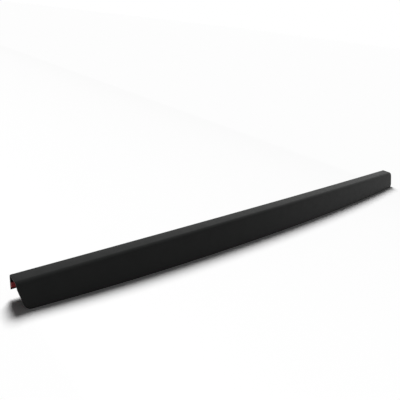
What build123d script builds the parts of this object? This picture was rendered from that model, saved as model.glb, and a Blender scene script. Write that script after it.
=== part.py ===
from build123d import *
import os
from math import asin, cos, radians, sin, tan

# Tailgate spoiler: a moulded plastic cap that slips over the top edge of a pickup's tailgate and is
# held by foam tape. Its section is a U that opens downwards: a short lip on the load bed's side, a
# level top plate, and a deeper flange outside that leans outwards and bellies down in the middle.
# Millimetres and degrees. +X runs along the tailgate, +Y points to the load bed, +Z is up. The origin
# is the middle of the seat, the underside of the top plate, where it lies on the tailgate.

# Shell: overall sizes, measured on the outside
overall_length = 1620.0
top_depth = 40.5
lip_height = 38.0
bow = 5.5
wall = 3.0

# Shell: the flange, with its drop below the top at the middle, at a station each side, and at the ends
flange_lean = 22.0
drop_middle = 74.0
drop_station = 69.5
station = 445.0
drop_end = 56.0
end_tuck = 10.0

# Shell: radii
back_radius = 5.5
shoulder_radius = 13.5
flange_corner_radius = 16.0
tuck_radius = 40.0
outer_rim_radius = 2.0
inner_rim_radius = 0.7

# Foam tape and its release liner
tape_width = 12.7
foam_thickness = 1.1
liner_thickness = 0.4
bond_gap = 0.01
lip_tape_margin = 7.0
lip_tape_end_gap = 3.0
flange_tape_margin = 6.0
flange_tape_end_gap = 45.0

# Pull tabs of the liners: on the lip the film folds back along itself, on the flange it runs straight on
tab_overrun = 1.2
tab_fold_radius = 1.3
tab_fold_turn = 172.0
tab_length = 18.0
tail_length = 12.0

# Worked out from the sizes above
foam_back = wall + bond_gap
foam_face = foam_back + foam_thickness
film_middle = foam_face + liner_thickness / 2
half_length = overall_length / 2
top_level = wall
back_face = top_depth / 2
crease = -top_depth / 2
lip_foot = top_level - lip_height
lip_tape_middle = lip_foot + lip_tape_margin + tape_width / 2
flange_corner = half_length - end_tuck
foot_middle = top_level - drop_middle
foot_station = top_level - drop_station
foot_end = top_level - drop_end
bow_radius = (half_length**2 + bow**2) / (2 * bow)
overcut = 4 * wall
channel_split = bow / 2
reach = top_depth + drop_middle
facing = cos(radians(60))


def bow_line(depth, half_span):
    """Line along the tailgate, parallel to the bowed back edge, that crosses the middle at a depth."""
    radius = bow_radius + back_face - depth
    turn = asin(half_span / radius)
    end_depth = depth + radius * (1 - cos(turn))
    return Spline(
        (-half_span, end_depth),
        (0, depth),
        (half_span, end_depth),
        tangents=((cos(turn), -sin(turn)), (cos(turn), sin(turn))),
    )


def across(line):
    """Plane across the start of a level line, with its own x to the left of the line and its y up."""
    return Plane(origin=line @ 0, x_dir=Vector(0, 0, 1).cross(line % 0), z_dir=line % 0)


def belly_line(rise):
    """Lower edge of the flange seen from outside, raised: a shallow arc, then a tighter one each side."""
    middle = ThreePointArc(
        (-station, foot_station + rise),
        (0, foot_middle + rise),
        (station, foot_station + rise),
    )
    TangentArc(middle @ 1, (flange_corner, foot_end + rise), tangent=middle % 1)
    TangentArc(middle @ 0, (-flange_corner, foot_end + rise), tangent=-(middle % 0))


def flange_line(depth):
    """Ends of the flange's straight section line, at the given depth below its outer skin."""
    set_in = crease + depth / cos(radians(flange_lean))
    foot = foot_middle - overcut
    lean = (top_level - foot) * tan(radians(flange_lean))
    return (set_in, top_level), (set_in - lean, foot)


def flange_strip(depth, thickness, half_span):
    """Strip of tape on the inside of the flange, from the given depth inwards, along its lower edge."""
    with BuildLine() as spine:
        bow_line(0, half_length)
    with BuildSketch(across(spine.line)) as section:
        with BuildLine():
            outer_top, outer_foot = flange_line(depth)
            inner_top, inner_foot = flange_line(depth + thickness)
            Polyline(outer_top, outer_foot, inner_foot, inner_top, close=True)
        make_face()
    sweep(section.sketch, path=spine.line)
    with BuildSketch(Plane.XZ) as band:
        with BuildLine():
            upper_rise = flange_tape_margin + tape_width
            belly_line(flange_tape_margin)
            belly_line(upper_rise)
            for corner in (-flange_corner, flange_corner):
                Line((corner, foot_end + flange_tape_margin), (corner, foot_end + upper_rise))
        make_face()
        Rectangle(2 * half_span, 2 * drop_middle, mode=Mode.INTERSECT)
    extrude(band.sketch, amount=reach, both=True, mode=Mode.INTERSECT)


def looks_out(face):
    """True for a face of the outer skin: it looks up, or away from the channel."""
    normal = face.normal_at()
    side = face.center().Y - channel_split
    return normal.Z > facing or abs(normal.Y) > facing and normal.Y * side > 0


def looks_in(face):
    """True for a face of the inner skin: it looks down at the seat's level, or into the channel."""
    normal = face.normal_at()
    centre = face.center()
    seat = normal.Z < -facing and centre.Z > -shoulder_radius
    return seat or abs(normal.Y) > facing and normal.Y * (centre.Y - channel_split) < 0


def rim_of(skin):
    """Edges where a skin ends: those that only one of its faces carries."""
    edges = ShapeList(edge for face in skin for edge in face.edges())
    return edges.filter_by(lambda edge: sum(edge.is_same(other) for other in edges) == 1)


# Outlines of the lip and the flange seen from outside, each carried through its own side of the channel
with BuildPart() as outline_block:
    with BuildSketch(Plane.XZ.offset(-channel_split)):
        with Locations((0, lip_foot)):
            Rectangle(overall_length, lip_height + overcut, align=(Align.CENTER, Align.MIN))
    extrude(amount=-reach)
    with BuildSketch(Plane.XZ.offset(-channel_split)) as flange_outline:
        with BuildLine():
            belly_line(0)
            tuck_start = top_level - shoulder_radius
            Polyline(
                (-flange_corner, foot_end),
                (-half_length, tuck_start),
                (-half_length, top_level + overcut),
                (half_length, top_level + overcut),
                (half_length, tuck_start),
                (flange_corner, foot_end),
            )
        make_face()
        fillet(flange_outline.vertices().group_by(Axis.Y)[1], flange_corner_radius)
        fillet(flange_outline.vertices().group_by(Axis.Y)[-2], tuck_radius)
    extrude(amount=reach)

# Shell: the U section carried along the bow, trimmed to the two outlines, with its rim rounded all round
with BuildPart() as spoiler_shell:
    with BuildLine() as spine:
        bow_line(0, half_length + overcut)
    with BuildSketch(across(spine.line)):
        with BuildLine():
            FilletPolyline(
                (back_face, lip_foot - overcut),
                (back_face, top_level),
                *flange_line(0),
                radius=(back_radius, shoulder_radius),
            )
            offset(amount=wall, side=Side.LEFT)
        make_face()
    sweep(path=spine.line)
    add(outline_block.part, mode=Mode.INTERSECT)
    fillet(rim_of(spoiler_shell.faces().filter_by(looks_out)), outer_rim_radius)
    fillet(rim_of(spoiler_shell.faces().filter_by(looks_in)), inner_rim_radius)
spoiler_shell.part.label = "spoiler_shell"

# Foam tape on the inside of the lip, along its lower edge
with BuildPart() as lip_tape:
    with BuildLine() as run:
        bow_line(back_face - foam_back, half_length - lip_tape_end_gap)
    with BuildSketch(across(run.line)):
        with Locations((0, lip_tape_middle)):
            Rectangle(foam_thickness, tape_width, align=(Align.MAX, Align.CENTER))
    sweep(path=run.line)
lip_tape.part.label = "lip_tape"

# Release liner of the lip's tape, with a pull tab folded back at each end
with BuildPart() as lip_tape_liner:
    with BuildLine() as film:
        run = bow_line(back_face - film_middle, half_length - lip_tape_end_gap + tab_overrun)
        right_fold = JernArc(run @ 1, run % 1, tab_fold_radius, -tab_fold_turn)
        Line(right_fold @ 1, right_fold @ 1 + (right_fold % 1) * tab_length)
        left_fold = JernArc(run @ 0, -(run % 0), tab_fold_radius, tab_fold_turn)
        Line(left_fold @ 1, left_fold @ 1 + (left_fold % 1) * tab_length)
    with BuildSketch(across(film.wire())):
        with Locations((0, lip_tape_middle)):
            Rectangle(liner_thickness, tape_width)
    sweep(path=film.wire())
lip_tape_liner.part.label = "lip_tape_liner"

# Foam tape on the inside of the flange, along its lower edge
flange_tape_half_span = flange_corner - flange_tape_end_gap
with BuildPart() as flange_tape:
    flange_strip(foam_back, foam_thickness, flange_tape_half_span)
flange_tape.part.label = "flange_tape"

# Release liner of the flange's tape, which runs past the foam as a tail to pull at each end
with BuildPart() as flange_tape_liner:
    flange_strip(foam_face, liner_thickness, flange_tape_half_span + tail_length)
flange_tape_liner.part.label = "flange_tape_liner"

os.makedirs("parts", exist_ok=True)
for piece in (spoiler_shell, lip_tape, lip_tape_liner, flange_tape, flange_tape_liner):
    export_step(piece.part, f"parts/{piece.part.label}.step")
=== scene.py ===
import bpy
import numpy as np
from mathutils import Matrix, Vector


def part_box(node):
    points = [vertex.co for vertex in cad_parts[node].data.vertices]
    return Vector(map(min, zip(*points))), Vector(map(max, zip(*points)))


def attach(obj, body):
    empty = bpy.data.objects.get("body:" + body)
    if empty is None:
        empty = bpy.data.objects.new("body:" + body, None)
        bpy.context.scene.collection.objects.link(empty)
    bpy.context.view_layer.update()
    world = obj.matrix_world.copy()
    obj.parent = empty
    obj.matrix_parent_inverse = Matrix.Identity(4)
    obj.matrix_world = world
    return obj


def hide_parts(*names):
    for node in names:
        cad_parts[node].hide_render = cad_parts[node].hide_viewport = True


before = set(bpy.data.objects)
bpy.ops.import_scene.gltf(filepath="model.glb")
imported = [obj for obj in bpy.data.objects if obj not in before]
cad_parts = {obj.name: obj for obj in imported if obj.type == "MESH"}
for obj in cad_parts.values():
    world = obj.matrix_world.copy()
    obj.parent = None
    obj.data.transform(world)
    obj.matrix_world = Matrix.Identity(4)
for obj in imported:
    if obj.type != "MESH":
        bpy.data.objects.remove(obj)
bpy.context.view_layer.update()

# Spoiler shell: one long injection-moulded cap of black plastic with a fine satin grain. Its U section
# runs along the tailgate in a slight bow, the flange bellies down outside, and the rim is rounded all
# round where the two halves of the mould met. It slips over the tailgate and the tape inside holds it.
shell_low, shell_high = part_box("spoiler_shell")
half_length = shell_high.x
top_level = shell_high.z
drop_middle = top_level - shell_low.z
top_depth = 0.0405
lip_height = 0.038
bow = 0.0055
wall = 0.003
flange_lean = np.radians(22.0)
station = 0.445
drop_station = 0.0695
drop_end = 0.056
end_tuck = 0.010
back_radius = 0.0055
shoulder_radius = 0.0135
corner_radius = 0.016
tuck_radius = 0.040
outer_rim_radius = 0.002
inner_rim_radius = 0.0007

back_face = top_depth / 2
crease = -top_depth / 2
lip_foot = top_level - lip_height
shoulder_run = shoulder_radius * np.tan((np.pi / 2 - flange_lean) / 2)
shoulder_foot = shoulder_run * np.cos(flange_lean)


def belly_drop(x):
    """Depth of the flange's lower edge below the top at x: a parabola about the middle as far as the
    station, and from there a second one that starts with its slope and reaches the end's drop."""
    x = np.abs(x)
    bend = 2 * (drop_middle - drop_station) / station**2
    slope = bend * station
    stretch = half_length - end_tuck - station
    end_bend = 2 * (drop_station - drop_end - slope * stretch) / stretch**2
    past = x - station
    return np.where(
        x < station,
        drop_middle - bend * x**2 / 2,
        drop_station - slope * past - end_bend * past**2 / 2,
    )


def arc(x, depth, radius, start, end, rows):
    """Points on an arc, as half-length and depth: the centre plus the radius along a turn."""
    turn = np.linspace(start, end, rows)
    return np.stack([x + radius * np.cos(turn), depth + radius * np.sin(turn)], axis=-1)


def end_outline(inset, blend_rows=7, side_rows=9, corner_rows=13):
    """Half-length and depth down the flange's end, at an inset from its edge. An arc turns the upright
    end into a straight side that draws in by the tuck, and a second arc turns the side into the lower
    edge. The inset takes its length off both radii."""
    tuck_turn = np.arctan2(end_tuck, drop_end - shoulder_radius)
    blend_depth = shoulder_radius - tuck_radius * np.tan(tuck_turn / 2)
    corner_depth = drop_end - corner_radius
    for _ in range(8):
        drawn_in = corner_radius + (corner_depth - shoulder_radius) * np.sin(tuck_turn)
        corner_x = half_length - drawn_in / np.cos(tuck_turn)
        corner_depth = belly_drop(corner_x) - corner_radius
    blend = arc(half_length - tuck_radius, blend_depth, tuck_radius - inset, 0, tuck_turn, blend_rows)
    corner = arc(corner_x, corner_depth, corner_radius - inset, tuck_turn, np.pi / 2, corner_rows)
    side = np.linspace(blend[-1], corner[0], side_rows)[1:-1]
    return np.concatenate([blend, side, corner]).T


def shell_layer(inset, sink, columns=181, lip_rows=6, back_rows=9, shoulder_rows=17):
    """Grid of points on the shell at an inset from its rim, sunk under its outer skin: the rows run from
    the lip's foot over the top to the flange's foot, the columns along the tailgate. A row's turn is the
    direction of its outward normal, from 0 at the lip through upright at the top. The flange's rows are
    stretched so that the last one follows the belly, and sunk rows slide up its slope by a share that
    grows from none to the whole at the foot, so that the wall is cut level there."""
    along = np.linspace(-1, 1, columns)
    back_turn = np.linspace(0, np.pi / 2, back_rows)
    shoulder_turn = np.linspace(np.pi / 2, np.pi - flange_lean, shoulder_rows)
    lip_z = np.linspace(lip_foot + inset, top_level - back_radius, lip_rows)[:-1]
    end_x, end_depth = end_outline(inset)
    turn = np.concatenate([
        np.zeros_like(lip_z), back_turn, shoulder_turn, np.full_like(end_x, np.pi - flange_lean)
    ])
    cap_y = np.concatenate([
        np.full_like(lip_z, back_face),
        back_face - back_radius + back_radius * np.cos(back_turn),
        crease + shoulder_run + shoulder_radius * np.cos(shoulder_turn),
    ])
    cap_z = np.concatenate([
        lip_z,
        top_level - back_radius + back_radius * np.sin(back_turn),
        top_level - shoulder_radius + shoulder_radius * np.sin(shoulder_turn),
    ])
    cap_x = np.full_like(cap_y, half_length - inset)
    x = np.concatenate([cap_x, end_x])[:, None] * along
    foot = belly_drop(end_x[-1] * along) - inset
    stretch = (foot - shoulder_foot) / (end_depth[-1] - shoulder_foot)
    depth = shoulder_foot + (end_depth[:, None] - shoulder_foot) * stretch
    level = (end_depth - end_depth[0]) / (end_depth[-1] - end_depth[0])
    depth = depth - sink * np.sin(flange_lean) * level[:, None]
    y = np.concatenate([cap_y[:, None] + 0 * along, crease - depth * np.tan(flange_lean)])
    z = np.concatenate([cap_z[:, None] + 0 * along, top_level - depth])
    y = y - sink * np.cos(turn)[:, None] + bow * (x / half_length) ** 2
    z = z - sink * np.sin(turn)[:, None]
    return np.stack([x, y, z], axis=-1)


def edge_walk(rows, columns):
    """Row and column of each point round the edge of a grid, once round: the first row, the last column,
    the last row backwards and the first column backwards."""
    row, column = np.arange(rows), np.arange(columns)
    walk_row = np.concatenate([0 * column, row[1:], 0 * column[1:] + rows - 1, row[-2:0:-1]])
    walk_column = np.concatenate([column, 0 * row[1:] + columns - 1, column[-2::-1], 0 * row[1:-1]])
    return walk_row, walk_column


def shell_mesh(name, rim_steps=5):
    """Closed mesh of the shell: the outer skin, bands round the rim, and the inner skin. A band's edge is
    the skins' edge at an inset and a sink that go round the outer rim's quarter circle, straight across
    the wall's end, and round the inner rim's quarter circle."""
    quarter = np.linspace(0, np.pi / 2, rim_steps)
    inset = np.concatenate([
        outer_rim_radius * (1 - np.sin(quarter)), inner_rim_radius * (1 - np.cos(quarter))
    ])
    sink = np.concatenate([
        outer_rim_radius * (1 - np.cos(quarter)),
        wall - inner_rim_radius * (1 - np.sin(quarter)),
    ])
    layers = np.array([shell_layer(a, b) for a, b in zip(inset, sink)])
    rows, columns = layers.shape[1:3]
    walk = edge_walk(rows, columns)
    points = np.concatenate([
        layers[0].reshape(-1, 3),
        layers[1:-1, walk[0], walk[1]].reshape(-1, 3),
        layers[-1].reshape(-1, 3),
    ])
    grid = np.arange(rows * columns).reshape(rows, columns)
    skin = np.stack([grid[:-1, :-1], grid[:-1, 1:], grid[1:, 1:], grid[1:, :-1]], -1).reshape(-1, 4)
    inner_start = len(points) - rows * columns
    bands = rows * columns + np.arange((len(layers) - 2) * len(walk[0])).reshape(len(layers) - 2, -1)
    loops = np.concatenate([grid[walk][None], bands, inner_start + grid[walk][None]])
    ahead = np.roll(loops, -1, axis=1)
    rim = np.stack([loops[:-1], loops[1:], ahead[1:], ahead[:-1]], -1).reshape(-1, 4)
    mesh = bpy.data.meshes.new(name)
    mesh.from_pydata(points, [], np.concatenate([skin, rim, inner_start + skin[:, ::-1]]).tolist())
    mesh.shade_smooth()
    return mesh


def add_piece(name, mesh, material, node):
    """Object at the origin that shows a mesh in place of a CAD node and rides with the whole part."""
    piece = bpy.data.objects.new(name, mesh)
    bpy.context.scene.collection.objects.link(piece)
    mesh.materials.append(material)
    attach(piece, "root")
    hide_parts(node)


def new_material(name):
    """Empty node material: its node tree, its Principled shader and a Texture Coordinate's Object output."""
    material = bpy.data.materials.new(name)
    material.use_nodes = True
    tree = material.node_tree
    shader = tree.nodes["Principled BSDF"]
    place = tree.nodes.new("ShaderNodeTexCoord").outputs["Object"]
    return material, tree, shader, place


def noise(tree, place, scale, detail):
    """Noise over a coordinate: the value that the texture gives, about one half on average."""
    node = tree.nodes.new("ShaderNodeTexNoise")
    node.inputs["Scale"].default_value = scale
    node.inputs["Detail"].default_value = detail
    tree.links.new(place, node.inputs["Vector"])
    return node.outputs["Fac"]


def spread(tree, value, low, high):
    """A noise value from 0.3 to 0.7, where most of it lies, spread from low to high and held beyond."""
    node = tree.nodes.new("ShaderNodeMapRange")
    node.inputs["From Min"].default_value = 0.3
    node.inputs["From Max"].default_value = 0.7
    node.inputs["To Min"].default_value = low
    node.inputs["To Max"].default_value = high
    tree.links.new(value, node.inputs["Value"])
    return node.outputs["Result"]


def two_tone(tree, value, first, second):
    """Colour between two tones, by a value from 0 to 1."""
    node = tree.nodes.new("ShaderNodeMix")
    node.data_type = "RGBA"
    node.inputs["A"].default_value = (*first, 1)
    node.inputs["B"].default_value = (*second, 1)
    tree.links.new(value, node.inputs["Factor"])
    return node.outputs["Result"]


def grain(tree, shader, height, strength, distance):
    """Bump under the shader's normal from a height value, with its depth in metres."""
    node = tree.nodes.new("ShaderNodeBump")
    node.inputs["Strength"].default_value = strength
    node.inputs["Distance"].default_value = distance
    tree.links.new(height, node.inputs["Height"])
    tree.links.new(node.outputs["Normal"], shader.inputs["Normal"])


def seen_ray(tree):
    """1 for a camera, glossy or transmission ray and 0 for any other: the largest of the three values."""
    rays = tree.nodes.new("ShaderNodeLightPath")
    value = rays.outputs["Is Camera Ray"]
    for kind in ("Is Glossy Ray", "Is Transmission Ray"):
        largest = tree.nodes.new("ShaderNodeMath")
        largest.operation = "MAXIMUM"
        tree.links.new(value, largest.inputs[0])
        tree.links.new(rays.outputs[kind], largest.inputs[1])
        value = largest.outputs["Value"]
    return value


shell_black, tree, shader, place = new_material("satin_black_plastic")
tone = spread(tree, noise(tree, place, 26.0, 3.0), 0.0, 1.0)
shell_tone = two_tone(tree, tone, (0.0115, 0.0121, 0.0118), (0.0150, 0.0156, 0.0153))
tree.links.new(shell_tone, shader.inputs["Base Color"])
sheen_patch = spread(tree, noise(tree, place, 60.0, 2.0), 0.38, 0.44)
tree.links.new(sheen_patch, shader.inputs["Roughness"])
shader.inputs["Specular IOR Level"].default_value = 0.1
grain(tree, shader, noise(tree, place, 1400.0, 2.0), 0.25, 0.0002)
add_piece("shell", shell_mesh("shell"), shell_black, "spoiler_shell")

# Foam tape: strips of closed-cell acrylic foam with adhesive on both faces, pressed on along the lower
# edges of the lip and the flange. Cut edges show the foam's fine cells.
foam_grey, tree, shader, place = new_material("acrylic_foam")
cells = noise(tree, place, 1800.0, 3.0)
foam_tone = two_tone(tree, spread(tree, cells, 0.0, 1.0), (0.045, 0.045, 0.048), (0.085, 0.085, 0.09))
tree.links.new(foam_tone, shader.inputs["Base Color"])
tree.links.new(spread(tree, cells, 0.75, 0.95), shader.inputs["Roughness"])
grain(tree, shader, cells, 0.6, 0.0003)
for node in ("lip_tape", "flange_tape"):
    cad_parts[node].data.materials.clear()
    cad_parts[node].data.materials.append(foam_grey)

# Release liners: thin red plastic film over the tape's outer adhesive. It is folded back on itself as a
# pull tab at the lip's ends and runs on as a tail at the flange's, and is peeled off when fitting.
liner_red, tree, shader, place = new_material("red_liner_film")
crinkle = noise(tree, place, 220.0, 3.0)
film_tone = two_tone(tree, spread(tree, crinkle, 0.0, 1.0), (0.34, 0.02, 0.026), (0.46, 0.035, 0.04))
tree.links.new(film_tone, shader.inputs["Base Color"])
tree.links.new(spread(tree, crinkle, 0.28, 0.4), shader.inputs["Roughness"])
grain(tree, shader, crinkle, 0.35, 0.0006)
for node in ("lip_tape_liner", "flange_tape_liner"):
    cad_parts[node].data.materials.clear()
    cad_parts[node].data.materials.append(liner_red)

# Studio: a plain pale sheet for a floor that lies against the flange's lower edge, in a white room, and a
# soft key lamp above and behind. Floor and room are white to the camera and in reflections, and dimmer
# as light, so that the lamp's shadow stays.
floor_reach = 60.0
floor_seen = 0.97
floor_bounce = 0.6
sheet_x = np.r_[-floor_reach, np.linspace(-half_length, half_length, 81), floor_reach]
sheet_y = np.repeat([-floor_reach, floor_reach], len(sheet_x))
sheet_z = top_level - belly_drop(np.clip(sheet_x, end_tuck - half_length, half_length - end_tuck))
sheet_points = np.stack([np.tile(sheet_x, 2), sheet_y, np.tile(sheet_z, 2)], axis=-1)
column = np.arange(len(sheet_x) - 1)
sheet_faces = np.stack([column, column + 1, column + 1 + len(sheet_x), column + len(sheet_x)], axis=-1)
floor_mesh = bpy.data.meshes.new("floor")
floor_mesh.from_pydata(sheet_points, [], sheet_faces.tolist())
floor_mesh.shade_smooth()
floor = bpy.data.objects.new("floor", floor_mesh)
bpy.context.scene.collection.objects.link(floor)

floor_white, tree, shader, _ = new_material("pale_floor")
floor_tone = two_tone(tree, seen_ray(tree), (floor_bounce,) * 3, (floor_seen,) * 3)
tree.links.new(floor_tone, shader.inputs["Base Color"])
shader.inputs["Roughness"].default_value = 1.0
shader.inputs["Specular IOR Level"].default_value = 0.0
floor_mesh.materials.append(floor_white)

room_seen = 1.0
room_fill = 0.06
room = bpy.data.worlds.new("studio_room")
bpy.context.scene.world = room
room.use_nodes = True
tree = room.node_tree
room_tone = two_tone(tree, seen_ray(tree), (room_fill,) * 3, (room_seen,) * 3)
tree.links.new(room_tone, tree.nodes["Background"].inputs["Color"])

key_heading = np.radians(30.0)
key_height = np.radians(46.0)
key_from = Vector((
    np.sin(key_heading) * np.cos(key_height), np.cos(key_heading) * np.cos(key_height), np.sin(key_height)
))
key = bpy.data.lights.new("broad_key", "SUN")
key.energy = 4.19
key.angle = np.radians(24.0)
key_lamp = bpy.data.objects.new("broad_key", key)
key_lamp.visible_glossy = False
key_lamp.rotation_euler = (-key_from).to_track_quat("-Z", "Y").to_euler()
bpy.context.scene.collection.objects.link(key_lamp)

# Camera: in front of the left end and above it, turned along the spoiler and tilted a little.
camera_place = Vector((-1.03184, -0.75789, 0.53019))
camera_yaw = np.radians(43.302)
camera_pitch = np.radians(23.141)
camera_roll = np.radians(6.980)
camera_data = bpy.data.cameras.new("camera")
camera_data.sensor_width = 36.0
camera_data.lens = 37.665
camera = bpy.data.objects.new("camera", camera_data)
camera.matrix_world = (
    Matrix.Translation(camera_place)
    @ Matrix.Rotation(-camera_yaw, 4, "Z")
    @ Matrix.Rotation(np.pi / 2 - camera_pitch, 4, "X")
    @ Matrix.Rotation(camera_roll, 4, "Z")
)
bpy.context.scene.collection.objects.link(camera)
bpy.context.scene.camera = camera
bpy.context.scene.view_settings.view_transform = "Standard"
